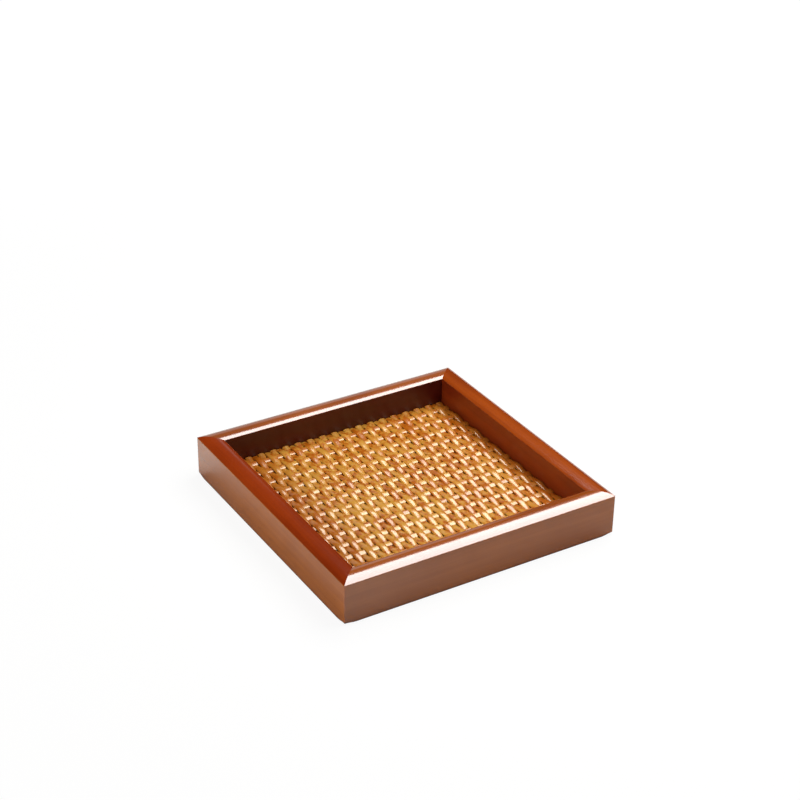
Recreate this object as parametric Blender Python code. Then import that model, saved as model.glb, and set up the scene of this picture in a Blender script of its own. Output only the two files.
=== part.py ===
"""Square wooden tea tray, modelled at real size in metres, +Z up.

Four mitred rails with a domed top stand on the table. A thin panel sits in their
grooves and carries a mat of crowned canes, woven over and under flat rods.
The origin is the centre of the square on which the rails stand.
"""

import math

import bmesh
import bpy
from mathutils import Matrix, Vector

# Frame of four rails
TRAY_SIDE = 0.2000
RAIL_WIDTH = 0.0139
OUTER_HEIGHT = 0.0286
INNER_EDGE_RISE = 0.0008
DOME_RISE = 0.0021
FOOT_RADIUS = 0.0026
INNER_FOOT_CHAMFER = 0.0006
CORNER_RADIUS = 0.0009
MITRE_GAP = 0.0002

# Panel in the grooves
PANEL_THICKNESS = 0.0040
PANEL_UNDERSIDE = 0.0056
GROOVE_DEPTH = 0.0050
GROOVE_GAP = 0.0003

# Loose tongues across the mitres
SPLINE_THICKNESS = 0.0025
SPLINE_WIDTH = 0.0080
SPLINE_GAP = 0.0003
WOOD_BELOW_SPLINE = 0.0023
WOOD_ABOVE_SPLINE = 0.0044
SPLINE_PLACE_SHARE = 0.60

# Woven mat
CANE_COUNT = 36
CANE_GAP = 0.0002
CANE_EDGE = 0.0002
CANE_THICKNESS = 0.0007
CANE_CROWN_SHARES = ((1.0, 0.0), (0.55, 1.0))
ROD_COUNT = 13
ROD_WIDTH = 0.0036
ROD_THICKNESS = 0.0006
ROD_SIDES = 10
ROD_MARGIN = 0.0091
MAT_WALL_GAP = 0.0003
MAT_PANEL_GAP = 0.0001
WEAVE_GAP = 0.0001
BEND_MARGIN = 0.0005
END_RISE_SHARE = 0.5

# Steps of round shapes and the overrun of cutters
DOME_STEPS = 14
FOOT_STEPS = 5
CORNER_STEPS = 4
OVERRUN = 0.0020
SMOOTH_ANGLE = math.radians(35)
WELD_DISTANCE = 0.000001

# Sizes that follow from the ones above
HALF_SIDE = TRAY_SIDE / 2
WELL_SIDE = TRAY_SIDE - 2 * RAIL_WIDTH
INNER_HEIGHT = OUTER_HEIGHT + INNER_EDGE_RISE
CROWN_HEIGHT = OUTER_HEIGHT + DOME_RISE
PANEL_TOP = PANEL_UNDERSIDE + PANEL_THICKNESS
PANEL_SIDE = WELL_SIDE + 2 * (GROOVE_DEPTH - GROOVE_GAP)
SPLINE_UNDERSIDE = PANEL_TOP + GROOVE_GAP + WOOD_BELOW_SPLINE
SPLINE_HEIGHT = OUTER_HEIGHT - WOOD_ABOVE_SPLINE - SPLINE_UNDERSIDE
CANE_PITCH = (WELL_SIDE - 2 * MAT_WALL_GAP + CANE_GAP) / CANE_COUNT
CANE_WIDTH = CANE_PITCH - CANE_GAP
ROD_PITCH = (WELL_SIDE - 2 * ROD_MARGIN) / (ROD_COUNT - 1)
LOW_CANE = PANEL_TOP + MAT_PANEL_GAP
ROD_CENTRE = LOW_CANE + CANE_THICKNESS + WEAVE_GAP + ROD_THICKNESS / 2
HIGH_CANE = ROD_CENTRE + ROD_THICKNESS / 2 + WEAVE_GAP
BEND_REACH = ROD_WIDTH / 2 + BEND_MARGIN

SIDES = ("front", "right", "back", "left")
CORNERS = ("front_right", "back_right", "back_left", "front_left")


def clear_scene():
    """Remove every object from the open file."""
    for thing in list(bpy.data.objects):
        bpy.data.objects.remove(thing, do_unlink=True)


def new_collection(name):
    """Link a new collection under the scene's own."""
    collection = bpy.data.collections.new(name)
    bpy.context.scene.collection.children.link(collection)
    return collection


def new_material(name, colour, roughness, metallic=0.0):
    """Make a Principled material of one colour."""
    material = bpy.data.materials.new(name)
    material.use_nodes = True
    material.diffuse_color = (*colour, 1.0)
    shader = material.node_tree.nodes["Principled BSDF"]
    shader.inputs["Base Color"].default_value = (*colour, 1.0)
    shader.inputs["Roughness"].default_value = roughness
    shader.inputs["Metallic"].default_value = metallic
    return material


def add_part(name, data, collection, root, material):
    """Add a named sub-part under the root empty."""
    part = bpy.data.objects.new(name, data)
    collection.objects.link(part)
    part.parent = root
    if not data.materials:
        data.materials.append(material)
    return part


def add_guide(name, data, collection, root):
    """Add a cutter or a section, which is no piece of the tray."""
    guide = bpy.data.objects.new(name, data)
    collection.objects.link(guide)
    guide.parent = root
    guide.display_type = "WIRE"
    guide.hide_render = True
    return guide


def weld(mesh):
    """Join the loose caps of a converted curve to its sides."""
    work = bmesh.new()
    work.from_mesh(mesh)
    bmesh.ops.remove_doubles(work, verts=work.verts, dist=WELD_DISTANCE)
    bmesh.ops.recalc_face_normals(work, faces=work.faces)
    work.to_mesh(mesh)
    work.free()


def prism(name, outline, thickness):
    """Extrude a closed outline in X and Y to both sides of Z = 0."""
    curve = bpy.data.curves.new(name, "CURVE")
    curve.dimensions = "2D"
    curve.fill_mode = "BOTH"
    curve.extrude = thickness / 2
    spline = curve.splines.new("POLY")
    spline.points.add(len(outline) - 1)
    for point, (x, y) in zip(spline.points, outline):
        point.co = (x, y, 0.0, 1.0)
    spline.use_cyclic_u = True
    holder = bpy.data.objects.new(name, curve)
    bpy.context.scene.collection.objects.link(holder)
    graph = bpy.context.evaluated_depsgraph_get()
    mesh = bpy.data.meshes.new_from_object(holder.evaluated_get(graph))
    bpy.data.objects.remove(holder)
    bpy.data.curves.remove(curve)
    weld(mesh)
    return mesh


def box(name, size):
    """Make a box of the given size about the origin."""
    mesh = bpy.data.meshes.new(name)
    work = bmesh.new()
    bmesh.ops.create_cube(work, size=1.0, matrix=Matrix.Diagonal((*size, 1.0)))
    work.to_mesh(mesh)
    work.free()
    return mesh


def arc(centre, radius, start, end, steps):
    """List the points of an arc, both ends included."""
    angles = [start + (end - start) * step / steps for step in range(steps + 1)]
    return [
        (centre[0] + radius * math.cos(angle), centre[1] + radius * math.sin(angle))
        for angle in angles
    ]


def dome_circle():
    """Find the circle through both top edges whose highest point is the crown.

    Its centre lies below the crown by the radius. The horizontal reach from the
    crown to an edge is sqrt(2 * radius * drop - drop ** 2), and the two reaches
    add up to the rail's width, which bisection on the radius brings about.
    """
    drops = (CROWN_HEIGHT - OUTER_HEIGHT, CROWN_HEIGHT - INNER_HEIGHT)

    def reach(radius, drop):
        return math.sqrt(2 * radius * drop - drop**2)

    low = max(drops)
    high = RAIL_WIDTH**2 / min(drops)
    for _ in range(60):
        radius = (low + high) / 2
        if sum(reach(radius, drop) for drop in drops) < RAIL_WIDTH:
            low = radius
        else:
            high = radius
    return (reach(radius, drops[0]), CROWN_HEIGHT - radius), radius


def rail_section():
    """Draw the rail's section: X runs from the outer face inwards, Y upwards."""
    centre, radius = dome_circle()
    outer_angle = math.atan2(OUTER_HEIGHT - centre[1], -centre[0])
    inner_angle = math.atan2(INNER_HEIGHT - centre[1], RAIL_WIDTH - centre[0])
    foot = arc((FOOT_RADIUS, FOOT_RADIUS), FOOT_RADIUS, 1.5 * math.pi, math.pi, FOOT_STEPS)
    dome = arc(centre, radius, outer_angle, inner_angle, DOME_STEPS)
    groove_low = PANEL_UNDERSIDE - GROOVE_GAP
    groove_high = PANEL_TOP + GROOVE_GAP
    groove_back = RAIL_WIDTH - GROOVE_DEPTH
    inner_side = [
        (RAIL_WIDTH, groove_high),
        (groove_back, groove_high),
        (groove_back, groove_low),
        (RAIL_WIDTH, groove_low),
        (RAIL_WIDTH, INNER_FOOT_CHAMFER),
        (RAIL_WIDTH - INNER_FOOT_CHAMFER, 0.0),
    ]
    return foot + dome + inner_side


def mitre_wedge_outline():
    """Draw the triangle in plan between two mitres of the front rail."""
    reach = HALF_SIDE + OVERRUN
    shift = MITRE_GAP / math.sqrt(2)
    return [(-reach, -reach - shift), (reach, -reach - shift), (0.0, -shift)]


def corner_shaver_outline():
    """Draw what rounding takes off the corner at +X -Y."""
    middle = HALF_SIDE - CORNER_RADIUS
    outside = HALF_SIDE + OVERRUN
    rounding = arc((middle, -middle), CORNER_RADIUS, -0.5 * math.pi, 0.0, CORNER_STEPS)
    return [(middle, -outside), (outside, -outside), (outside, -middle)] + rounding[::-1]


def turn(index):
    """Turn by whole quarter turns about +Z."""
    return Matrix.Rotation(index * math.pi / 2, 4, "Z")


def spline_centre():
    """Place the tongue on the mitre of the corner at +X -Y."""
    from_centre = HALF_SIDE - RAIL_WIDTH * SPLINE_PLACE_SHARE
    return Vector((from_centre, -from_centre, SPLINE_UNDERSIDE + SPLINE_HEIGHT / 2))


def spline_matrix(index):
    """Stand a tongue across the mitre of a corner, its width square to the joint."""
    across = Matrix.Rotation(math.pi / 4, 4, "Z")
    return turn(index) @ Matrix.Translation(spline_centre()) @ across


def cut(part, cutter, operation):
    """Add an exact Boolean of a cutter to a part."""
    modifier = part.modifiers.new(cutter.name, "BOOLEAN")
    modifier.operation = operation
    modifier.solver = "EXACT"
    modifier.object = cutter


def build_rails(parts, guides, root, lacquer):
    """Make the four rails from one section, cut at their mitres, corners and slots."""
    tall = CROWN_HEIGHT + 2 * OVERRUN
    stock = prism("rail_stock", rail_section(), TRAY_SIDE + 2 * OVERRUN)
    stand = Matrix(((0, 0, 1, 0), (1, 0, 0, -HALF_SIDE), (0, 1, 0, 0), (0, 0, 0, 1)))
    stock.transform(stand)
    wedge = prism("mitre_wedge", mitre_wedge_outline(), tall)
    wedge.transform(Matrix.Translation((0.0, 0.0, CROWN_HEIGHT / 2)))
    shaver = prism("corner_shaver", corner_shaver_outline(), tall)
    shaver.transform(Matrix.Translation((0.0, 0.0, CROWN_HEIGHT / 2)))
    slot_size = (
        SPLINE_WIDTH + 2 * SPLINE_GAP,
        SPLINE_THICKNESS + 2 * SPLINE_GAP,
        SPLINE_HEIGHT + 2 * SPLINE_GAP,
    )
    slot = box("spline_slot", slot_size)
    shavers = []
    slots = []
    for index, corner in enumerate(CORNERS):
        shavers.append(add_guide("shaver_" + corner, shaver, guides, root))
        shavers[-1].matrix_local = turn(index)
        slots.append(add_guide("slot_" + corner, slot, guides, root))
        slots[-1].matrix_local = spline_matrix(index)
    for index, side in enumerate(SIDES):
        mitres = add_guide("mitres_" + side, wedge, guides, root)
        mitres.matrix_local = turn(index)
        rail = add_part(side + "_rail", stock, parts, root, lacquer)
        rail.matrix_local = turn(index)
        cut(rail, mitres, "INTERSECT")
        for corner in (index, index - 1):
            cut(rail, shavers[corner], "DIFFERENCE")
            cut(rail, slots[corner], "DIFFERENCE")


def build_splines(parts, root, hardwood):
    """Make the tongues that cross the mitres."""
    tongue = box("corner_spline", (SPLINE_WIDTH, SPLINE_THICKNESS, SPLINE_HEIGHT))
    for index, corner in enumerate(CORNERS):
        spline = add_part("corner_spline_" + corner, tongue, parts, root, hardwood)
        spline.matrix_local = spline_matrix(index)


def build_panel(parts, root, plywood):
    """Make the panel that the grooves hold."""
    board = box("base_panel", (PANEL_SIDE, PANEL_SIDE, PANEL_THICKNESS))
    panel = add_part("base_panel", board, parts, root, plywood)
    panel.location = (0.0, 0.0, PANEL_UNDERSIDE + PANEL_THICKNESS / 2)


def rod_place(index):
    """Give a rod's distance from the middle of the tray, front negative."""
    return (index - (ROD_COUNT - 1) / 2) * ROD_PITCH


def build_rods(parts, root, cane):
    """Lay the flat rods from wall to wall, through the weave."""
    length = WELL_SIDE - 2 * MAT_WALL_GAP
    rod_mesh = bpy.data.meshes.new("weft_rod")
    work = bmesh.new()
    bmesh.ops.create_cone(
        work, cap_ends=True, segments=ROD_SIDES, radius1=0.5, radius2=0.5, depth=1.0
    )
    work.to_mesh(rod_mesh)
    work.free()
    rod_mesh.transform(Matrix.Diagonal((ROD_THICKNESS, ROD_WIDTH, length, 1.0)))
    rod_mesh.transform(Matrix.Rotation(math.pi / 2, 4, "Y"))
    rod_mesh.shade_smooth()
    rod_mesh.set_sharp_from_angle(angle=2 * math.pi / ROD_SIDES + SMOOTH_ANGLE)
    for index in range(ROD_COUNT):
        rod = add_part(f"weft_rod_{index + 1:02d}", rod_mesh, parts, root, cane)
        rod.location = (0.0, rod_place(index), ROD_CENTRE)


def cane_section(guides, root):
    """Draw a cane's section: flat below, crowned above, its underside on Y = 0."""
    half = CANE_WIDTH / 2
    rise = CANE_THICKNESS - CANE_EDGE
    right = [(half * across, CANE_EDGE + rise * up) for across, up in CANE_CROWN_SHARES]
    left = [(-x, y) for x, y in reversed(right)]
    outline = [(-half, 0.0)] + left[::-1] + right[::-1] + [(half, 0.0)]
    curve = bpy.data.curves.new("cane_section", "CURVE")
    curve.dimensions = "2D"
    spline = curve.splines.new("POLY")
    spline.points.add(len(outline) - 1)
    for point, (x, y) in zip(spline.points, outline):
        point.co = (x, y, 0.0, 1.0)
    spline.use_cyclic_u = True
    return add_guide("cane_section", curve, guides, root)


def cane_route(first_over):
    """List the route of a cane's underside, which bends over and under each rod."""
    middle = (LOW_CANE + HIGH_CANE) / 2
    swing = (HIGH_CANE - LOW_CANE) / 2
    reach = WELL_SIDE / 2 - MAT_WALL_GAP
    signs = [1 if (index % 2 == 0) == first_over else -1 for index in range(ROD_COUNT)]
    route = [(-reach, middle + signs[0] * swing * END_RISE_SHARE)]
    for index, sign in enumerate(signs):
        place = rod_place(index)
        route.append((place - BEND_REACH, middle + sign * swing))
        route.append((place + BEND_REACH, middle + sign * swing))
    route.append((reach, middle + signs[-1] * swing * END_RISE_SHARE))
    return route


def cane_curve(name, route, section):
    """Sweep the section along a route in the plane of Y and Z."""
    curve = bpy.data.curves.new(name, "CURVE")
    curve.dimensions = "3D"
    curve.twist_mode = "Z_UP"
    curve.bevel_mode = "OBJECT"
    curve.bevel_object = section
    curve.use_fill_caps = True
    spline = curve.splines.new("POLY")
    spline.points.add(len(route) - 1)
    for point, (y, z) in zip(spline.points, route):
        point.co = (0.0, y, z, 1.0)
    return curve


def build_canes(parts, guides, root, cane):
    """Lay the canes side by side, each a rod out of step with its neighbours."""
    section = cane_section(guides, root)
    curves = [
        cane_curve("cane_over_first", cane_route(True), section),
        cane_curve("cane_under_first", cane_route(False), section),
    ]
    for index in range(CANE_COUNT):
        strip = add_part(f"warp_cane_{index + 1:02d}", curves[index % 2], parts, root, cane)
        strip.location = ((index - (CANE_COUNT - 1) / 2) * CANE_PITCH, 0.0, 0.0)


def build_tray():
    """Build the whole tray."""
    clear_scene()
    parts = new_collection("tea_tray")
    guides = new_collection("cutters")
    root = bpy.data.objects.new("tea_tray", None)
    parts.objects.link(root)
    lacquer = new_material("lacquered_wood", (0.26, 0.075, 0.022), 0.28)
    hardwood = new_material("pale_hardwood", (0.48, 0.30, 0.15), 0.60)
    plywood = new_material("stained_plywood", (0.22, 0.085, 0.028), 0.55)
    cane = new_material("woven_cane", (0.52, 0.19, 0.045), 0.32)
    build_rails(parts, guides, root, lacquer)
    build_splines(parts, root, hardwood)
    build_panel(parts, root, plywood)
    build_rods(parts, root, cane)
    build_canes(parts, guides, root, cane)


build_tray()
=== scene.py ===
"""Looks of a square wooden tea tray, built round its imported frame.

Four lacquered rails with a domed top and mitred corners hold a thin stained panel,
and on the panel lies a mat of glossy canes, woven over and under thin rods.
All lengths are in metres and every piece stands where its CAD node stands.
"""

import logging
import math
from dataclasses import dataclass, field
from enum import Enum

import bmesh
import bpy
import numpy as np
from mathutils import Matrix, Vector
from mathutils.geometry import tessellate_polygon


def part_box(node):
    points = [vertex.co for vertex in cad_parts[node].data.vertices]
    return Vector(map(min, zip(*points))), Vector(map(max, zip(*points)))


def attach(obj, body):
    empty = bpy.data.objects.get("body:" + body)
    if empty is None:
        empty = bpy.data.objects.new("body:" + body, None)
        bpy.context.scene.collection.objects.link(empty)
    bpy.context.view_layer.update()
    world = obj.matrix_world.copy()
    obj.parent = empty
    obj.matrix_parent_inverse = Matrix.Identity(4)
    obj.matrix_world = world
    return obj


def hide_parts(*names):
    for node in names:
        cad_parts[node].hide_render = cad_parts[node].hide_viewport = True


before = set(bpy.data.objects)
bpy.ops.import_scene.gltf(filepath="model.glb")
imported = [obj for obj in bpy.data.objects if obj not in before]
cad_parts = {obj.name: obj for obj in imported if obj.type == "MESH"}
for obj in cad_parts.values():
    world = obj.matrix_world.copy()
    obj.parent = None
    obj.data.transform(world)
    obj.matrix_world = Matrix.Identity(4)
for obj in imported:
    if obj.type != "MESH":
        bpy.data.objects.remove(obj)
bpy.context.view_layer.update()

LOG = logging.getLogger("tea_tray")
BODY = "root"
MILLIMETRE = 0.001

Colour = tuple[float, float, float, float]
Triple = tuple[float, float, float]
Span = tuple[float, float]

WHITE: Colour = (1.0, 1.0, 1.0, 1.0)
UNTINTED: Triple = (1.0, 1.0, 1.0)


class Side(Enum):
    """The four sides of the tray, with the quarter turns that take the front one there."""

    FRONT = 0
    RIGHT = 1
    BACK = 2
    LEFT = 3


class Run(Enum):
    """The way that a grain or a fibre runs."""

    ALONG_X = 0
    ALONG_Y = 1

    def stretch(self, along: float, across: float) -> Triple:
        """Order a pattern's scales, along the run and across it, as X, Y and Z."""
        return (along, across, across) if self is Run.ALONG_X else (across, along, across)


class Slot(Enum):
    """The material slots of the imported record."""

    LACQUER = "lacquered_wood"
    CANE = "woven_cane"
    PANEL = "stained_plywood"
    SPLINE = "pale_hardwood"


@dataclass(frozen=True)
class Pattern:
    """A noise, with its features per metre along the grain and across it.

    Its roughness is how strong the fine octaves are. Its shift sets it apart from the
    other patterns of the same finish.
    """

    along: float
    across: float
    octaves: float
    roughness: float
    shift: float = 0.0


class Value:
    """A socket that carries one number, on which Python's arithmetic adds Math nodes."""

    def __init__(self, graph: "Graph", socket: bpy.types.NodeSocket) -> None:
        """Wrap a socket of a graph."""
        self.graph = graph
        self.socket = socket

    def __add__(self, other: "Value | float") -> "Value":
        """Add a value or a number."""
        return self.graph.math("ADD", self, other)

    __radd__ = __add__

    def __sub__(self, other: "Value | float") -> "Value":
        """Take away a value or a number."""
        return self.graph.math("SUBTRACT", self, other)

    def __rsub__(self, other: float) -> "Value":
        """Take this value from a number."""
        return self.graph.math("SUBTRACT", other, self)

    def __mul__(self, other: "Value | float") -> "Value":
        """Multiply by a value or a number."""
        return self.graph.math("MULTIPLY", self, other)

    __rmul__ = __mul__

    def __truediv__(self, other: "Value | float") -> "Value":
        """Divide by a value or a number."""
        return self.graph.math("DIVIDE", self, other)

    def __abs__(self) -> "Value":
        """Give the size of the value."""
        return self.graph.math("ABSOLUTE", self)

    def __neg__(self) -> "Value":
        """Turn the value's sign round."""
        return self.graph.math("MULTIPLY", self, -1.0)

    def rise(self, low: float, high: float) -> "Value":
        """Rise smoothly from 0 where the value is low to 1 where it is high.

        Args:
            low: The value at which the result leaves 0.
            high: The value at which the result reaches 1.

        Returns:
            The smooth step as a value from 0 to 1.
        """
        settings = {"interpolation_type": "SMOOTHSTEP"}
        sockets = {"Value": self, "From Min": low, "From Max": high}
        node = self.graph.node("ShaderNodeMapRange", settings, sockets)
        return Value(self.graph, node.outputs["Result"])


Plug = Value | bpy.types.NodeSocket | float | tuple[float, ...]


class Graph:
    """The node tree of one material, or of the world."""

    def __init__(self, tree: bpy.types.NodeTree) -> None:
        """Take over a tree and empty it."""
        self.tree = tree
        tree.nodes.clear()

    def node(
        self, kind: str, settings: dict[str, object], sockets: dict[str, Plug]
    ) -> bpy.types.Node:
        """Add a node, set its settings, then fill its sockets.

        Args:
            kind: The node's type.
            settings: Its properties, set before its sockets.
            sockets: A value or a link for each input, by identifier or by name.

        Returns:
            The new node.
        """
        node = self.tree.nodes.new(kind)
        for name, setting in settings.items():
            setattr(node, name, setting)
        for name, plug in sockets.items():
            by_identifier = [s for s in node.inputs if s.identifier == name]
            self.fill(by_identifier[0] if by_identifier else node.inputs[name], plug)
        return node

    def fill(self, socket: bpy.types.NodeSocket, plug: Plug) -> None:
        """Link a value or a socket into an input, or set the input to a number.

        Args:
            socket: The input.
            plug: What goes into it.
        """
        if isinstance(plug, Value):
            self.tree.links.new(plug.socket, socket)
        elif isinstance(plug, bpy.types.NodeSocket):
            self.tree.links.new(plug, socket)
        else:
            socket.default_value = plug

    def math(self, operation: str, *terms: Value | float) -> Value:
        """Add one Math node.

        Args:
            operation: The node's operation.
            terms: Its inputs, in order.

        Returns:
            The node's result.
        """
        node = self.tree.nodes.new("ShaderNodeMath")
        node.operation = operation
        for socket, term in zip(node.inputs, terms):
            self.fill(socket, term)
        return Value(self, node.outputs[0])

    def place(self) -> bpy.types.NodeSocket:
        """Give the Object coordinates, which are the tray's own metres."""
        return self.node("ShaderNodeTexCoord", {}, {}).outputs["Object"]

    def axes(self, vector: bpy.types.NodeSocket) -> tuple[Value, Value, Value]:
        """Part a vector into its three numbers."""
        node = self.node("ShaderNodeSeparateXYZ", {}, {"Vector": vector})
        return tuple(Value(self, socket) for socket in node.outputs)

    def noise(self, pattern: Pattern, run: Run, shift: float) -> Value:
        """Add a noise pattern on the Object coordinates.

        Args:
            pattern: Its scales and its fineness.
            run: The way that the grain runs.
            shift: How far the finish's patterns are moved, so that two pieces differ.

        Returns:
            The noise, about 0 to 1 with its middle at 0.5.
        """
        moved = {
            "Vector": self.place(),
            "Location": (shift + pattern.shift,) * 3,
            "Scale": run.stretch(pattern.along, pattern.across),
        }
        where = self.node("ShaderNodeMapping", {}, moved)
        sockets = {
            "Vector": where.outputs[0],
            "Scale": 1.0,
            "Detail": pattern.octaves,
            "Roughness": pattern.roughness,
        }
        return Value(self, self.node("ShaderNodeTexNoise", {}, sockets).outputs[0])

    def mix(self, share: Plug, first: Plug, second: Plug) -> bpy.types.NodeSocket:
        """Mix two colours.

        Args:
            share: How much of the second colour shows.
            first: The colour at share 0.
            second: The colour at share 1.

        Returns:
            The mixed colour.
        """
        sockets = {"Factor_Float": share, "A_Color": first, "B_Color": second}
        node = self.node("ShaderNodeMix", {"data_type": "RGBA"}, sockets)
        return next(s for s in node.outputs if s.identifier == "Result_Color")

    def bump(self, height: Value, depth: float) -> bpy.types.NodeSocket:
        """Turn a height from 0 to 1 into a normal.

        Args:
            height: The relief.
            depth: Its height in metres.

        Returns:
            The bumped normal.
        """
        sockets = {"Height": height, "Distance": depth, "Strength": 1.0}
        return self.node("ShaderNodeBump", {}, sockets).outputs["Normal"]


@dataclass(frozen=True, kw_only=True)
class Finish:
    """What every finish has: a name, the run of its grain, and a shift of its patterns."""

    name: str
    run: Run
    shift: float
    ior: float = 1.5

    def noise(self, graph: Graph, pattern: Pattern) -> Value:
        """Lay a pattern along the finish's run, moved by its shift."""
        return graph.noise(pattern, self.run, self.shift)

    def sockets(self, graph: Graph) -> dict[str, Plug]:
        """Fill the Principled shader's sockets."""
        raise NotImplementedError

    def material(self) -> bpy.types.Material:
        """Make the finish's material round one Principled shader.

        Returns:
            The material.
        """
        material = bpy.data.materials.new(self.name)
        material.use_nodes = True
        graph = Graph(material.node_tree)
        shader = graph.node("ShaderNodeBsdfPrincipled", {}, self.sockets(graph))
        graph.node("ShaderNodeOutputMaterial", {}, {"Surface": shader.outputs["BSDF"]})
        return material


@dataclass(frozen=True)
class Shares:
    """How much red, green and blue one rail's faces give back, and how full its film is.
    The tints of the dome, the outer face and the inner wall are painted light and shade:
    they lighten or darken each rail's faces as the light falls on that side.

    The bloom is what the film on the outer face gains towards the rail's clouded end,
    which is 1 for the end at the higher coordinate and -1 for the other.
    """

    top: Triple
    side: Triple
    wall: Triple
    film: float
    bloom: float = 0.0
    clouded_end: float = -1.0


@dataclass(frozen=True)
class Lacquer(Finish):
    """Glossy red-brown lacquer on straight-grained wood, thinner along the worn edges.

    The tone shares are the figure's, the lines' and the clouds', and the relief shares
    the lines', the peel's and the pores'. The foot is painted darker, in the pore colour,
    as painted shadow where it meets the floor. Film losses are what the painted foot
    shadow, the wear and the smears take off, and dullings what the smears, the wear and
    the inner wall add to the roughness.
    """

    shares: Shares
    half_side: float
    width: float
    outer_height: float
    inner_height: float
    deep: Colour = (0.19, 0.020, 0.0010, 1.0)
    warm: Colour = (0.31, 0.042, 0.0030, 1.0)
    side_deep: Colour = (0.36, 0.082, 0.011, 1.0)
    side_warm: Colour = (0.48, 0.122, 0.019, 1.0)
    # Colour of the pores, and also of the painted shadow on the foot.
    pore_and_shade: Colour = (0.055, 0.008, 0.001, 1.0)
    rubbed: Colour = (0.50, 0.13, 0.025, 1.0)
    figure_noise: Pattern = Pattern(along=7.0, across=170.0, octaves=3.0, roughness=0.55)
    line_noise: Pattern = Pattern(along=16.0, across=1300.0, octaves=5.0, roughness=0.6)
    pore_noise: Pattern = Pattern(along=220.0, across=5200.0, octaves=2.0, roughness=0.5)
    cloud_noise: Pattern = Pattern(along=24.0, across=24.0, octaves=3.0, roughness=0.5)
    smear_noise: Pattern = Pattern(along=45.0, across=45.0, octaves=4.0, roughness=0.6, shift=3.0)
    peel_noise: Pattern = Pattern(along=900.0, across=900.0, octaves=2.0, roughness=0.5)
    wear_noise: Pattern = Pattern(along=260.0, across=260.0, octaves=4.0, roughness=0.6)
    pore_range: Span = (0.66, 0.74)
    smear_range: Span = (0.5, 0.75)
    tone_range: Span = (0.30, 0.70)
    tone_shares: Triple = (0.42, 0.25, 0.33)
    relief_shares: Triple = (0.5, 0.5, 0.4)
    relief_depth: float = 0.003 * MILLIMETRE
    pore_share: float = 0.40
    foot_shadow_share: float = 0.70
    wear_share: float = 0.30
    wear_range: Span = (0.38, 0.62)
    wear_reach: float = 0.45 * MILLIMETRE
    fading: float = 0.5 * MILLIMETRE
    film_fading_share: float = 0.6
    wall_edge: float = 0.25 * MILLIMETRE
    wall_edge_share: float = 0.1
    foot_shade: float = 2.2 * MILLIMETRE
    side_film: float = 0.20
    wall_film: float = 0.12
    film_losses: Triple = (0.6, 0.25, 0.10)
    specular: float = 0.5
    smooth: float = 0.12
    dullings: Triple = (0.05, 0.12, 0.26)
    film_roughness: float = 0.18
    film_ior: float = 1.9

    def stain(self, graph: Graph, tone: Value, pair: tuple[Colour, Colour], tint: Triple) -> Plug:
        """Mix a pair of colours by the grain's tone, each multiplied by a tint."""
        tinted = [(*(part * share for part, share in zip(colour, tint)), 1.0) for colour in pair]
        return graph.mix(tone, *tinted)

    def inwards(self, graph: Graph) -> Value:
        """Give the distance from the outer face: the half side less the larger of |x|, |y|."""
        x, y, _ = graph.axes(graph.place())
        return self.half_side - graph.math("MAXIMUM", abs(x), abs(y))

    def edge_wear(self, graph: Graph) -> Value:
        """Find the worn places along the rail's two top edges and its upright corner.

        The distance from the corner is the half side less the smaller of |x| and |y|.
        Wear falls from 1 to 0 over its reach from the nearest edge, and comes in patches.

        Args:
            graph: The material's nodes.

        Returns:
            The wear, from 0 to 1.
        """
        x, y, z = graph.axes(graph.place())
        inwards = self.inwards(graph)
        outer = graph.math("MAXIMUM", inwards, abs(z - self.outer_height))
        inner = graph.math("MAXIMUM", abs(self.width - inwards), abs(z - self.inner_height))
        corner = self.half_side - graph.math("MINIMUM", abs(x), abs(y))
        nearest = graph.math("MINIMUM", graph.math("MINIMUM", outer, inner), corner)
        patchy = self.noise(graph, self.wear_noise)
        return (1.0 - nearest.rise(0.0, self.wear_reach)) * patchy.rise(*self.wear_range)

    def wood(self, graph: Graph, tone: Value, inside: Value) -> Plug:
        """Stain the three faces: pale outside, deep on the dome, and deep on the inner wall,
        each tinted by the rail's painted light and shade.

        Args:
            graph: The material's nodes.
            tone: The grain's tone, from 0 to 1.
            inside: 1 on the inner wall and 0 elsewhere.

        Returns:
            The stained wood's colour.
        """
        faded = 1.0 - self.inwards(graph).rise(0.0, self.fading)
        # The rail's shares tint each face as painted light and shade.
        side = self.stain(graph, tone, (self.side_deep, self.side_warm), self.shares.side)
        top = self.stain(graph, tone, (self.deep, self.warm), self.shares.top)
        wall = self.stain(graph, tone, (self.deep, self.warm), self.shares.wall)
        return graph.mix(inside, graph.mix(faded, top, side), wall)

    def film(self, graph: Graph, inside: Value) -> Value:
        """Give the film's fullness: whole on the dome, thin outside, thinnest on the wall.

        Outside it blooms towards the clouded end.

        Args:
            graph: The material's nodes.
            inside: 1 on the inner wall and 0 elsewhere.

        Returns:
            The film's weight.
        """
        x, y, _ = graph.axes(graph.place())
        outside = 1.0 - self.inwards(graph).rise(0.0, self.film_fading_share * self.fading)
        film = self.shares.film - (self.shares.film - self.side_film) * outside
        film = film - (self.shares.film - self.wall_film) * inside
        along = x if self.run is Run.ALONG_X else y
        clouded = (along * self.shares.clouded_end).rise(0.0, self.half_side)
        return film + self.shares.bloom * clouded * outside

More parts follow.
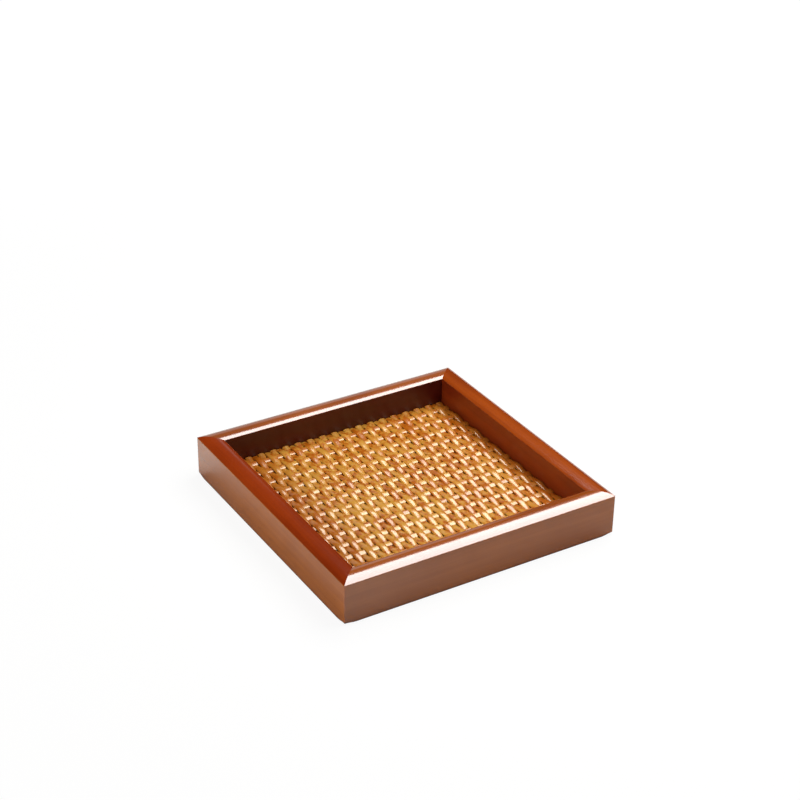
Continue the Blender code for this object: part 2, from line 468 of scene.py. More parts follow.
    def sockets(self, graph: Graph) -> dict[str, Plug]:
        """Put grain in the colour, pores under the film, and a film of uneven gloss.

        Args:
            graph: The material's nodes.

        Returns:
            What goes into each socket of the shader.
        """
        figure = self.noise(graph, self.figure_noise)
        lines = self.noise(graph, self.line_noise)
        pores = self.noise(graph, self.pore_noise).rise(*self.pore_range)
        clouds = self.noise(graph, self.cloud_noise)
        smears = self.noise(graph, self.smear_noise)
        peel = self.noise(graph, self.peel_noise)
        by_figure, by_lines, by_clouds = self.tone_shares
        tone = (by_figure * figure + by_lines * lines + by_clouds * clouds).rise(*self.tone_range)
        _, _, z = graph.axes(graph.place())
        inwards = self.inwards(graph)
        wall_starts = self.width - self.wall_edge
        inside = inwards.rise(wall_starts, self.width - self.wall_edge_share * self.wall_edge)
        pored = graph.mix(pores * self.pore_share, self.wood(graph, tone, inside), self.pore_and_shade)
        # Painted shadow: the lowest millimetres of the outer face and the foot's round are darkened
        # towards the pore colour and lose film.
        on_round = 1.0 - inwards.rise(self.foot_shade, 2 * self.foot_shade)
        foot = (1.0 - z.rise(0.0, self.foot_shade)) * on_round
        foot_shadowed = graph.mix(foot * self.foot_shadow_share, pored, self.pore_and_shade)
        wear = self.edge_wear(graph)
        from_lines, from_peel, from_pores = self.relief_shares
        relief = lines * from_lines + peel * from_peel - pores * from_pores
        off_foot_shadow, off_wear, off_smears = self.film_losses
        film = self.film(graph, inside) * (1.0 - off_foot_shadow * foot)
        smeared = smears.rise(*self.smear_range)
        by_smears, by_wear, by_wall = self.dullings
        return {
            "Base Color": graph.mix(wear * self.wear_share, foot_shadowed, self.rubbed),
            "Roughness": self.smooth + by_smears * smears + by_wear * wear + by_wall * inside,
            "IOR": self.ior,
            "Specular IOR Level": self.specular,
            "Coat Weight": film * (1.0 - off_wear * wear - off_smears * smeared),
            "Coat Roughness": self.film_roughness,
            "Coat IOR": self.film_ior,
            "Normal": graph.bump(relief, self.relief_depth),
        }


@dataclass(frozen=True)
class Cane(Finish):
    """Varnished cane or rod: golden, each one its own tone, with fine fibres along it.

    The tone shares are the cane's own, the streaks', the patches' and the mottle's. The
    mat is painted darker and browner near its left and right walls, over the named
    spans of X, as painted shade from the walls, and the lower parts of each cane and
    rod are painted darker as painted shade.
    """

    pitch: float
    first: float
    low: float
    high: float
    gold: Colour = (0.69, 0.325, 0.044, 1.0)
    amber: Colour = (0.62, 0.215, 0.022, 1.0)
    russet: Colour = (0.47, 0.112, 0.003, 1.0)
    # Colour of the painted shade on low places, and also of the dark specks.
    shade_and_speck: Colour = (0.42, 0.120, 0.012, 1.0)
    fibre_noise: Pattern = Pattern(along=90.0, across=4200.0, octaves=4.0, roughness=0.6)
    streak_noise: Pattern = Pattern(along=130.0, across=230.0, octaves=3.0, roughness=0.6)
    patch_noise: Pattern = Pattern(along=38.0, across=38.0, octaves=3.0, roughness=0.6)
    mottle_noise: Pattern = Pattern(
        along=280.0, across=460.0, octaves=2.0, roughness=0.6, shift=7.0
    )
    speck_noise: Pattern = Pattern(along=500.0, across=2600.0, octaves=2.0, roughness=0.5)
    fibre_range: Span = (0.50, 0.72)
    fibre_share: float = 0.30
    fibre_depth: float = 0.006 * MILLIMETRE
    streak_range: Span = (0.35, 0.6)
    speck_range: Span = (0.68, 0.76)
    speck_share: float = 0.5
    tone_shares: tuple[float, ...] = (0.08, 0.36, 0.26, 0.30)
    amber_range: Span = (0.44, 0.490)
    gold_range: Span = (0.475, 0.54)
    left_span: Span = (42.0 * MILLIMETRE, 78.0 * MILLIMETRE)
    left_share: float = 0.80
    right_span: Span = (30.0 * MILLIMETRE, 58.0 * MILLIMETRE)
    right_share: float = 0.24
    right_edge_span: Span = (68.0 * MILLIMETRE, 84.0 * MILLIMETRE)
    right_edge_share: float = 0.51
    depth_share: float = 0.26
    most_shade: float = 0.90
    specular: float = 1.0
    smooth: float = 0.19
    fibre_dulling: float = 0.14
    glint: Colour = (1.0, 0.92, 0.66, 1.0)
    varnish: float = 0.48
    varnish_gain: float = 0.25
    varnish_roughness: float = 0.10

    def own_tone(self, graph: Graph) -> Value:
        """Draw one number for each cane: white noise on the cane's whole number.

        Args:
            graph: The material's nodes.

        Returns:
            The number, from 0 to 1.
        """
        x, y, _ = graph.axes(graph.place())
        place = x if self.run is Run.ALONG_Y else y
        number = graph.math("ROUND", (place - self.first) / self.pitch)
        node = graph.node("ShaderNodeTexWhiteNoise", {"noise_dimensions": "1D"}, {"W": number})
        return Value(graph, node.outputs["Value"])

    def age(self, graph: Graph) -> Value:
        """Give the painted shade by the walls, which rises towards the mat's left and right walls.

        Args:
            graph: The material's nodes.

        Returns:
            The painted shade, from 0 to 1.
        """
        x, _, _ = graph.axes(graph.place())
        left = self.left_share * (-x).rise(*self.left_span)
        right = self.right_share * x.rise(*self.right_span)
        return left + right + self.right_edge_share * x.rise(*self.right_edge_span)

    def sockets(self, graph: Graph) -> dict[str, Plug]:
        """Set tones from cane to cane and along each, painted shade on low places and by the walls,
        dark specks, and fibres in the gloss.

        Args:
            graph: The material's nodes.

        Returns:
            What goes into each socket of the shader.
        """
        fibres = self.noise(graph, self.fibre_noise)
        streaks = self.noise(graph, self.streak_noise)
        patches = self.noise(graph, self.patch_noise)
        mottle = self.noise(graph, self.mottle_noise)
        specks = self.noise(graph, self.speck_noise).rise(*self.speck_range)
        by_cane, by_streaks, by_patches, by_mottle = self.tone_shares
        tone = by_cane * self.own_tone(graph) + by_streaks * streaks
        tone = tone + by_patches * patches + by_mottle * mottle
        skin = graph.mix(tone.rise(*self.amber_range), self.russet, self.amber)
        golden = graph.mix(tone.rise(*self.gold_range), skin, self.gold)
        # Painted shade: the mat is mixed towards russet near its left and right walls.
        wall_shaded = graph.mix(self.age(graph), golden, self.russet)
        lined = fibres.rise(*self.fibre_range) * self.fibre_share
        fibred = graph.mix(lined, wall_shaded, self.russet)
        _, _, z = graph.axes(graph.place())
        # Painted shade: the lower parts of each cane and rod are darkened; the dark specks are
        # marks of the same colour.
        depth = 1.0 - z.rise(self.low, self.high)
        dark = depth * self.depth_share + specks * self.speck_share
        shaded_and_specked = graph.math("MINIMUM", dark, self.most_shade)
        return {
            "Base Color": graph.mix(shaded_and_specked, fibred, self.shade_and_speck),
            "Roughness": self.smooth + self.fibre_dulling * fibres,
            "IOR": self.ior,
            "Specular IOR Level": self.specular,
            "Specular Tint": self.glint,
            "Coat Weight": self.varnish + self.varnish_gain * streaks.rise(*self.streak_range),
            "Coat Roughness": self.varnish_roughness,
            "Coat IOR": self.ior,
            "Normal": graph.bump(fibres, self.fibre_depth),
        }


@dataclass(frozen=True)
class Timber(Finish):
    """Bare or stained wood with a plain face grain.

    The tone shares are the figure's and the lines'.
    """

    dark: Colour
    light: Colour
    dull: float
    figure_noise: Pattern = Pattern(along=5.0, across=70.0, octaves=4.0, roughness=0.55)
    line_noise: Pattern = Pattern(along=14.0, across=950.0, octaves=5.0, roughness=0.6)
    pore_noise: Pattern = Pattern(along=160.0, across=3800.0, octaves=2.0, roughness=0.5)
    pore_range: Span = (0.64, 0.72)
    pore_share: float = 0.5
    pore_relief: float = 0.6
    tone_shares: Span = (0.6, 0.4)
    tone_range: Span = (0.36, 0.64)
    line_dulling: float = 0.15
    relief_depth: float = 0.06 * MILLIMETRE

    def sockets(self, graph: Graph) -> dict[str, Plug]:
        """Lay broad figure, fine lines and open pores.

        Args:
            graph: The material's nodes.

        Returns:
            What goes into each socket of the shader.
        """
        figure = self.noise(graph, self.figure_noise)
        lines = self.noise(graph, self.line_noise)
        pores = self.noise(graph, self.pore_noise).rise(*self.pore_range)
        by_figure, by_lines = self.tone_shares
        tone = (by_figure * figure + by_lines * lines).rise(*self.tone_range)
        grained = graph.mix(tone, self.dark, self.light)
        return {
            "Base Color": graph.mix(pores * self.pore_share, grained, self.dark),
            "Roughness": self.dull + self.line_dulling * lines,
            "IOR": self.ior,
            "Normal": graph.bump(lines - pores * self.pore_relief, self.relief_depth),
        }


class Draft:
    """Gathers the points and faces of one piece, grid by grid."""

    def __init__(self) -> None:
        """Start with nothing."""
        self.points: list[np.ndarray] = []
        self.faces: list[list[int]] = []
        self.count = 0

    def add(self, points: np.ndarray) -> np.ndarray:
        """Add points.

        Args:
            points: An array whose last axis is X, Y and Z.

        Returns:
            The points' numbers, in the shape of the other axes.
        """
        flat = points.reshape(-1, 3)
        numbers = self.count + np.arange(len(flat))
        self.points.append(flat)
        self.count += len(flat)
        return numbers.reshape(points.shape[:-1])

    def skin(self, numbers: np.ndarray, ring: bool = True) -> None:
        """Lay a quad between each four neighbours of a grid.

        Args:
            numbers: The numbers of the grid's points.
            ring: Whether the last column meets the first.
        """
        if ring:
            numbers = np.concatenate([numbers, numbers[:, :1]], axis=1)
        quads = (numbers[:-1, :-1], numbers[1:, :-1], numbers[1:, 1:], numbers[:-1, 1:])
        self.faces += np.stack(quads, axis=-1).reshape(-1, 4).tolist()

    def face(self, numbers: np.ndarray) -> None:
        """Close a ring with one face."""
        self.faces.append(numbers.tolist())

    def piece(self, name: str, material: bpy.types.Material, sharp: float) -> bpy.types.Object:
        """Make the piece from what was gathered, with its faces pointing outwards.

        Args:
            name: The piece's name.
            material: Its finish.
            sharp: The angle past which an edge stays sharp, in radians.

        Returns:
            The piece, at the origin.
        """
        mesh = bpy.data.meshes.new(name)
        mesh.from_pydata(np.concatenate(self.points).tolist(), [], self.faces)
        work = bmesh.new()
        work.from_mesh(mesh)
        bmesh.ops.recalc_face_normals(work, faces=work.faces)
        work.to_mesh(mesh)
        work.free()
        mesh.shade_smooth()
        mesh.set_sharp_from_angle(angle=sharp)
        mesh.materials.append(material)
        piece = bpy.data.objects.new(name, mesh)
        bpy.context.scene.collection.objects.link(piece)
        return piece


def seat(piece: bpy.types.Object, slot: Slot, *nodes: str) -> None:
    """Ride a piece on the tray in place of its CAD nodes, and report it.

    Args:
        piece: The finished piece.
        slot: The record's material slot; not used.
        nodes: The CAD nodes that it stands for.
    """
    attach(piece, BODY)
    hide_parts(*nodes)
    LOG.info("%s: %d faces, for %s", piece.name, len(piece.data.polygons), ", ".join(nodes))


WAVE_SHARES = np.array([1.0, 0.61, 0.37])
REACH_SHARES = np.array([0.5, 0.3, 0.2])


def sway(places: np.ndarray, phases: np.ndarray, wave: float, reach: float) -> np.ndarray:
    """Give a smooth wander along a piece: the sum of three sines of unlike length.

    Args:
        places: Where along the piece, in metres.
        phases: The three sines' phases, in radians.
        wave: The longest wave.
        reach: The most that the wander amounts to.

    Returns:
        The wander at each place.
    """
    turns = 2 * np.pi * np.asarray(places)[..., None] / (wave * WAVE_SHARES) + phases
    return reach * (np.sin(turns) * REACH_SHARES).sum(axis=-1)


# Painted light and shade per rail: the front's outer face is darker, the right rail's dome lighter,
# the back rail's inner wall darker and its dome greyer as a painted reflection.
FRONT_SHARES = Shares(
    top=(1.40, 2.4, 2.0), side=(0.80, 0.88, 0.8), wall=UNTINTED, film=1.0, bloom=0.3
)
RIGHT_SHARES = Shares(top=(1.32, 1.7, 1.3), side=UNTINTED, wall=(0.98, 0.86, 0.1), film=0.5)
BACK_SHARES = Shares(top=(1.50, 3.0, 9.0), side=UNTINTED, wall=(0.29, 0.09, 0.1), film=1.0)
LEFT_SHARES = Shares(
    top=(1.15, 1.0, 0.8), side=(1.0, 1.15, 1.0), wall=UNTINTED, film=0.6, bloom=0.8, clouded_end=1.0
)


@dataclass
class RailFrame:
    """The four rails: one section, carried round the tray and parted at the mitres."""

    outer_height: float = 28.6 * MILLIMETRE
    inner_height: float = 29.4 * MILLIMETRE
    crown_share: float = 0.56
    dome_power: float = 2.35
    foot_radius: float = 2.6 * MILLIMETRE
    foot_least: float = 0.8 * MILLIMETRE
    foot_growth: float = 9.0 * MILLIMETRE
    foot_chamfer: float = 0.6 * MILLIMETRE
    corner_radius: float = 0.9 * MILLIMETRE
    edge_ease: float = 0.22 * MILLIMETRE
    hairline: float = 0.002 * MILLIMETRE
    groove_depth: float = 5.0 * MILLIMETRE
    groove_gap: float = 0.3 * MILLIMETRE
    spline_place_share: float = 0.60
    spline_thickness: float = 2.5 * MILLIMETRE
    spline_width: float = 8.0 * MILLIMETRE
    spline_gap: float = 0.3 * MILLIMETRE
    shares: tuple[Shares, ...] = (FRONT_SHARES, RIGHT_SHARES, BACK_SHARES, LEFT_SHARES)
    shift_step: float = 11.0
    dome_steps: int = 30
    foot_steps: int = 8
    ease_steps: int = 5
    face_steps: int = 8
    middle_stations: int = 96
    end_stations: int = 9
    end_share: float = 1.2
    sharp: float = math.radians(40)
    half_side: float = field(init=False)
    width: float = field(init=False)
    crown_height: float = field(init=False)
    panel: Span = field(init=False)
    spline: Span = field(init=False)

    def __post_init__(self) -> None:
        """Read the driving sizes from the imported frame."""
        low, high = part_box("front_rail")
        self.half_side = -low.y
        self.width = high.y - low.y
        self.crown_height = high.z
        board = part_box("base_panel")
        self.panel = (board[0].z, board[1].z)
        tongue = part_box("corner_spline_front_right")
        self.spline = (tongue[0].z, tongue[1].z)

    def dome(self) -> np.ndarray:
        """Draw the dome, which is flat at the crown and falls faster towards both edges.

        At a share u of the way from the crown to an edge it has dropped by u^p times the
        edge's whole drop.

        Returns:
            Points from the outer edge to the inner one, as (inwards, up).
        """
        crown = self.width * self.crown_share
        shares = np.linspace(-1.0, 1.0, self.dome_steps + 1)
        reach = np.where(shares < 0, crown, self.width - crown)
        edge = np.where(shares < 0, self.outer_height, self.inner_height)
        drop = (self.crown_height - edge) * np.abs(shares) ** self.dome_power
        return np.stack([crown + reach * shares, self.crown_height - drop], axis=1)

    def eased(self, before: np.ndarray, corner: np.ndarray, after: np.ndarray) -> np.ndarray:
        """Ease one corner of the section with a parabola.

        With A and B at the ease's length before and after the corner C, the curve is
        (1 - t)^2 A + 2 t (1 - t) C + t^2 B. One more point on each side keeps the
        shading of the flats apart from the curve's.

        Args:
            before: The point before the corner.
            corner: The corner.
            after: The point after it.

        Returns:
            The points that take the corner's place.
        """
        back = (before - corner) / np.linalg.norm(before - corner)
        ahead = (after - corner) / np.linalg.norm(after - corner)
        start, end = corner + back * self.edge_ease, corner + ahead * self.edge_ease
        t = np.linspace(0.0, 1.0, self.ease_steps + 1)[:, None]
        curve = (1 - t) ** 2 * start + 2 * t * (1 - t) * corner + t**2 * end
        guard = self.edge_ease / 2
        return np.vstack([start + back * guard, curve, end + ahead * guard])

    def section(self) -> np.ndarray:
        """Draw the closed section of a rail.

        It goes from the foot up the outer face, over the dome, down the inner face into
        the panel's groove and out again, and along the underside.

        Returns:
            Points as (inwards, up).
        """
        angles = np.linspace(0.0, math.pi / 2, self.foot_steps + 1)
        foot = self.foot_radius * (1 - np.stack([np.sin(angles), np.cos(angles)], axis=1))
        foot_guard = self.foot_radius + self.edge_ease
        top = self.dome()
        faces = np.linspace(foot_guard, self.outer_height - 2 * self.edge_ease, self.face_steps)
        outer = np.stack([np.zeros(self.face_steps), faces], axis=1)
        low, high = self.panel[0] - self.groove_gap, self.panel[1] + self.groove_gap
        back = self.width - self.groove_depth
        inner = np.array(
            [
                (self.width, high),
                (back, high),
                (back, low),
                (self.width, low),
                (self.width, self.foot_chamfer),
                (self.width - self.foot_chamfer, 0.0),
                (foot_guard, 0.0),
            ]
        )
        first_edge = self.eased(outer[-1], top[0], top[1])
        last_edge = self.eased(top[-2], top[-1], inner[0])
        return np.vstack([foot, outer, first_edge, top[2:-2], last_edge, inner])

    def stations(self) -> np.ndarray:
        """Set the stations along a rail, close together at its two ends.

        Returns:
            Their places as shares of the half length, from -1 to 1.
        """
        end = self.end_share * self.corner_radius
        near = np.linspace(0.0, end, self.end_stations) / self.half_side
        middle = np.linspace(-1 + 2 * near[-1], 1 - 2 * near[-1], self.middle_stations)
        return np.concatenate([near - 1, middle, (1 - near)[::-1]])

    def surface(self, section: np.ndarray) -> np.ndarray:
        """Carry the section along the front rail.

        A point w inwards reaches to the mitre, at half side less w. Where the station lies
        within the corner's radius of the end, the point is pushed in to the upright
        cylinder of that radius, whose depth is r - sqrt(r^2 - e^2) at a distance e past
        its centre. The foot's round is small along the rail and grows towards the corner,
        as s^2 (3 - 2 s) of a nearness s.

        Args:
            section: The section's points as (inwards, up).

        Returns:
            The grid of stations by section points.
        """
        radius = self.corner_radius
        share = self.stations()[:, None]
        near = np.clip(1 - self.half_side * (1 - np.abs(share)) / self.foot_growth, 0.0, 1.0)
        least = self.foot_least / self.foot_radius
        shrink = least + (1 - least) * near**2 * (3 - 2 * near)
        shrink = np.where(np.arange(len(section)) <= self.foot_steps, shrink, 1.0)
        inwards, up = section[:, 0] * shrink, section[:, 1] * shrink
        on_mitre = radius * (1 - math.sqrt(0.5))
        reach = self.half_side - self.hairline - np.maximum(inwards, on_mitre)
        x = share * reach
        past = np.clip(np.abs(x) + self.hairline - (self.half_side - radius), 0.0, radius)
        depth = np.maximum(inwards, radius - np.sqrt(radius**2 - past**2))
        return np.stack([x, depth - self.half_side, up + 0 * x], axis=-1)

    def end(self, draft: Draft, ring: np.ndarray, outline: np.ndarray, sign: float) -> None:
        """Close one mitre, leaving the blind slot for the tongue.

        Args:
            draft: The rail so far.
            ring: The numbers of the points round the mitre.
            outline: The same points as (inwards, up).
            sign: 1 for the end at +X, -1 for the end at -X.
        """
        middle = self.width * self.spline_place_share
        half = (self.spline_thickness / 2 + self.spline_gap) / math.sqrt(2)
        low, high = self.spline[0] - self.spline_gap, self.spline[1] + self.spline_gap
        near, far = middle - half, middle + half
        mouth = np.array([(near, low), (far, low), (far, high), (near, high)])
        reach = self.half_side - mouth[:, 0]
        places = np.stack([sign * (reach - self.hairline), -reach, mouth[:, 1]], axis=1)
        depth = (self.spline_width / 2 + self.spline_gap) / math.sqrt(2)
        pocket = draft.add(np.stack([places, places + np.array([-sign * depth, -depth, 0.0])]))
        draft.skin(pocket)
        draft.face(pocket[1])
        numbers = np.concatenate([ring, pocket[0]])
        loops = [[Vector((*point, 0.0)) for point in loop] for loop in (outline, mouth)]
        draft.faces += [numbers[list(triangle)].tolist() for triangle in tessellate_polygon(loops)]

    def rail(self, side: Side) -> Draft:
        """Work out the rail of one side: the front one, turned by quarter turns.

        Args:
            side: The side of the tray.

        Returns:
            The rail's points and faces.
        """
        section = self.section()
        grid = self.surface(section)
        draft = Draft()
        numbers = draft.add(grid)
        draft.skin(numbers)
        for ring, points, sign in ((numbers[-1], grid[-1], 1.0), (numbers[0], grid[0], -1.0)):
            outline = np.stack([points[:, 1] + self.half_side, points[:, 2]], axis=1)
            self.end(draft, ring, outline, sign)
        turn = np.array(Matrix.Rotation(side.value * math.pi / 2, 3, "Z"))
        draft.points = [points @ turn.T for points in draft.points]
        return draft

    def build(self) -> None:
        """Make the four rails, each with a grain of its own that runs along it."""
        for side in Side:
            name = side.name.lower()
            finish = Lacquer(
                name=f"lacquer_{name}",
                shift=self.shift_step * (side.value + 1),
                run=Run.ALONG_X if side in (Side.FRONT, Side.BACK) else Run.ALONG_Y,
                shares=self.shares[side.value],
                half_side=self.half_side,
                width=self.width,
                outer_height=self.outer_height,
                inner_height=self.inner_height,
            )
            piece = self.rail(side).piece(f"{name}_rail_lacquered", finish.material(), self.sharp)
            seat(piece, Slot.LACQUER, f"{name}_rail")


@dataclass
class WovenMat:
    """The mat: crowned canes from front to back, woven over and under flat, leaning rods.

    The wander steps are what the wander's three phases gain from each cane to the next.
    """

    cane_gap: float = 0.02 * MILLIMETRE
    cane_thickness: float = 0.80 * MILLIMETRE
    cane_crown: float = 0.50 * MILLIMETRE
    cane_hollow: float = 0.15 * MILLIMETRE
    cane_power: float = 5.0
    rod_thickness: float = 0.60 * MILLIMETRE
    rod_width: float = 4.2 * MILLIMETRE
    rod_power: float = 2.3
    rod_lean: float = math.radians(8.5)
    clearance: float = 0.08 * MILLIMETRE
    crest_power: float = 1.25
    crest_shift: float = 0.3 * MILLIMETRE
    crest_width: float = 0.80 * MILLIMETRE
    crest_share: float = 0.35
    sag: float = 0.12 * MILLIMETRE
    crown_points: int = 13
    below_shares: tuple[float, ...] = (-0.9, -0.3, 0.3, 0.9)
    steps_per_rod: int = 18
    rod_points: int = 16
    rod_steps_per_cane: int = 6
    wander: float = 0.20 * MILLIMETRE
    wander_wave: float = 110.0 * MILLIMETRE
    wander_steps: Triple = (0.2, 0.35, 0.5)
    rod_wander: float = 0.30 * MILLIMETRE
    rod_wave: float = 80.0 * MILLIMETRE
    sag_wave: float = 30.0 * MILLIMETRE
    narrowing: float = 0.06 * MILLIMETRE
    roll: float = math.radians(2.8)
    roll_wave: float = 50.0 * MILLIMETRE
    cane_shift: float = 3.0
    rod_shift: float = 23.0
    seed: int = 7
    sharp: float = math.radians(60)
    chance: np.random.Generator = field(init=False)
    canes: list[str] = field(init=False)
    rods: list[str] = field(init=False)
    reach: float = field(init=False)
    rod_reach: float = field(init=False)
    cane_places: np.ndarray = field(init=False)
    rod_places: np.ndarray = field(init=False)
    cane_pitch: float = field(init=False)
    cane_low: float = field(init=False)
    rod_height: float = field(init=False)
    swing: float = field(init=False)
    cane_phases: np.ndarray = field(init=False)
    rod_phases: np.ndarray = field(init=False)

    def __post_init__(self) -> None:
        """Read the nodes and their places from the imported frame, and work out the heights."""
        self.canes = sorted(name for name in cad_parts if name.startswith("warp_cane_"))
        self.rods = sorted(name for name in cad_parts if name.startswith("weft_rod_"))
        self.chance = np.random.default_rng(self.seed)
        boxes = [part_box(name) for name in self.canes]
        self.reach = boxes[0][1].y
        self.cane_places = np.array([(low.x + high.x) / 2 for low, high in boxes])
        self.cane_pitch = self.cane_places[1] - self.cane_places[0]
        self.cane_low = boxes[0][0].z
        rod_boxes = [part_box(name) for name in self.rods]
        self.rod_places = np.array([(low.y + high.y) / 2 for low, high in rod_boxes])
        self.rod_reach = rod_boxes[0][1].x
        cane_top = self.cane_low + self.cane_thickness
        self.rod_height = cane_top + self.clearance + self.rod_thickness / 2
        self.swing = (self.cane_thickness + self.rod_thickness + 2 * self.clearance) / 2
        self.cane_phases = self.chance.uniform(0.0, 2 * np.pi, 3)
        self.rod_phases = self.chance.uniform(0.0, 2 * np.pi, (len(self.rods), 3))

    def cane_section(self) -> np.ndarray:
        """Draw a cane's section, a strip that is crowned above and a little hollow below.

        At a share s of the half width the underside is at h (1 - s^2). The top is at
        c (1 - s^2) + (t - c) (1 - |s|^p)^(1/p), whose second term rounds the two edges.

        Returns:
            Points as (share, up), from the left of the underside round to the left edge.
        """
        crown = np.sin(np.linspace(np.pi / 2, -np.pi / 2, self.crown_points))
        shares = np.concatenate([self.below_shares, crown])
        edge = np.clip(1 - np.abs(crown) ** self.cane_power, 0.0, 1.0) ** (1 / self.cane_power)
        top = self.cane_crown * (1 - crown**2) + (self.cane_thickness - self.cane_crown) * edge
        below = self.cane_hollow * (1 - np.square(self.below_shares))
        return np.stack([shares, np.concatenate([below, top])], axis=1)

    def rod_line(self, number: int, x: np.ndarray) -> np.ndarray:
        """Give a rod's wandering middle line.

        Args:
            number: The rod's number, from 0 at the front.
            x: Where along the rod.

        Returns:
            Its Y at each place.
        """
        wander = sway(x, self.rod_phases[number], self.rod_wave, self.rod_wander)
        return self.rod_places[number] + wander

    def cane(self, number: int) -> Draft:
        """Work out one cane.

        Its underside is at low + 2 swing ((1 + cos(phase)) / 2)^p. The phase gains half a
        turn from each rod to the next, so the cane is high on one and low under the
        other, and with p above 1 the crests are short and the troughs long. The cane is
        widest on the crests, and it wanders, sags and rolls a little along its length.

        Args:
            number: The cane's number, from 0 at the left.

        Returns:
            The cane's points and faces.
        """
        place = self.cane_places[number]
        lines = [float(self.rod_line(rod, np.array(place))) for rod in range(len(self.rods))]
        crests = np.array(lines) + self.crest_shift
        steps = self.steps_per_rod * (len(self.rods) + 1)
        y = np.linspace(-self.reach, self.reach, steps + 1)
        ends = np.array([2 * crests[0] - crests[1], 2 * crests[-1] - crests[-2]])
        stops = np.concatenate([ends[:1], crests, ends[1:]])
        turns = np.interp(y, stops, np.arange(-1, len(self.rods) + 1)) + number
        height = ((1 + np.cos(np.pi * turns)) / 2) ** self.crest_power
        roll_phases, sag_phases = self.chance.uniform(0.0, 2 * np.pi, (2, 3))
        sagged = sway(y, sag_phases, self.sag_wave, self.sag)
        underside = self.cane_low + 2 * self.swing * height + sagged
        section = self.cane_section()
        width = self.cane_pitch - self.cane_gap - self.chance.uniform(0.0, self.narrowing)
        half = (width + self.crest_width * (height - self.crest_share)) / 2
        across, up = half[:, None] * section[None, :, 0], section[None, :, 1]
        phases = self.cane_phases + np.array(self.wander_steps) * number
        shift = sway(y, phases, self.wander_wave, self.wander)
        lean = sway(y, roll_phases, self.roll_wave, self.roll)[:, None]
        x = place + shift[:, None] + across
        z = underside[:, None] + up + across * np.tan(lean)
        grid = np.stack([x, y[:, None] + 0 * x, z], axis=-1)
        draft = Draft()
        numbers = draft.add(grid)
        draft.skin(numbers)
        draft.face(numbers[0])
        draft.face(numbers[-1])
        return draft

    def rod(self, number: int) -> Draft:
        """Work out one rod: a flat strip with round edges that leans towards the front.

        At an angle a round its middle line the section is at (|cos a|^(2/p),
        |sin a|^(2/p)) with the signs kept, and it rises across by the lean's tangent.

        Args:
            number: The rod's number, from 0 at the front.

        Returns:
            The rod's points and faces.
        """
        steps = self.rod_steps_per_cane * len(self.canes)
        x = np.linspace(-self.rod_reach, self.rod_reach, steps + 1)
        angles = np.linspace(0.0, 2 * np.pi, self.rod_points, endpoint=False)
        corners = np.stack([np.cos(angles), np.sin(angles)])
        section = np.sign(corners) * np.abs(corners) ** (2 / self.rod_power)
        across = self.rod_width / 2 * section[0][None, :]
        phases = self.chance.uniform(0.0, 2 * np.pi, 3)
        lean = self.rod_lean + sway(x, phases, self.roll_wave, self.roll)
        up = self.rod_thickness / 2 * section[1][None, :] + across * np.tan(lean)[:, None]
        y = self.rod_line(number, x)[:, None] + across
        z = self.rod_height + up
        draft = Draft()
        numbers = draft.add(np.stack([x[:, None] + 0 * y, y, z], axis=-1))
        draft.skin(numbers)
        draft.face(numbers[0])
        draft.face(numbers[-1])
        return draft

    def build(self) -> None:
        """Make every cane and every rod, each in its own node's place."""
        cane_finish = Cane(
            name="cane_varnished",
            shift=self.cane_shift,
            run=Run.ALONG_Y,
            pitch=self.cane_pitch,
            first=self.cane_places[0],
            low=self.cane_low,
            high=self.cane_low + self.cane_thickness,
        ).material()
        rod_finish = Cane(
            name="rod_varnished",
            shift=self.rod_shift,
            run=Run.ALONG_X,
            pitch=self.rod_places[1] - self.rod_places[0],
            first=self.rod_places[0],
            low=self.rod_height - self.rod_thickness,
            high=self.rod_height,
        ).material()
        for number, node in enumerate(self.canes):
            piece = self.cane(number).piece(node.replace("warp", "woven"), cane_finish, self.sharp)
            seat(piece, Slot.CANE, node)
        for number, node in enumerate(self.rods):
            piece = self.rod(number).piece(node.replace("weft", "cross"), rod_finish, self.sharp)
            seat(piece, Slot.CANE, node)


@dataclass
class HiddenWood:
    """The panel and the four tongues: their CAD nodes stay, with a finish of their own."""

    panel_dark: Colour = (0.45, 0.16, 0.030, 1.0)
    panel_light: Colour = (0.66, 0.30, 0.080, 1.0)
    panel_dull: float = 0.5
    panel_shift: float = 5.0
    tongue_dark: Colour = (0.36, 0.21, 0.095, 1.0)
    tongue_light: Colour = (0.60, 0.40, 0.22, 1.0)
    tongue_dull: float = 0.6
    tongue_shift: float = 7.0

    def dress(self, node: str, finish: Finish) -> None:
        """Give a CAD node a finish.

        Args:
            node: The node's name.
            finish: Its finish.
        """
        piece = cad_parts[node]
        piece.data.materials.clear()
        piece.data.materials.append(finish.material())
        LOG.info("%s: the CAD node, with %s", node, finish.name)

    def build(self) -> None:
        """Dress the panel and the tongues."""
        board = Timber(
            name="panel_stained",
            shift=self.panel_shift,
            run=Run.ALONG_X,
            dark=self.panel_dark,
            light=self.panel_light,
            dull=self.panel_dull,
        )
        self.dress("base_panel", board)
        tongues = sorted(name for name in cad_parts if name.startswith("corner_spline_"))
        for number, node in enumerate(tongues):
            wood = Timber(
                name=f"{node}_wood",
                shift=self.tongue_shift + number,
                run=Run.ALONG_X,
                dark=self.tongue_dark,
                light=self.tongue_light,
                dull=self.tongue_dull,
            )
            self.dress(node, wood)


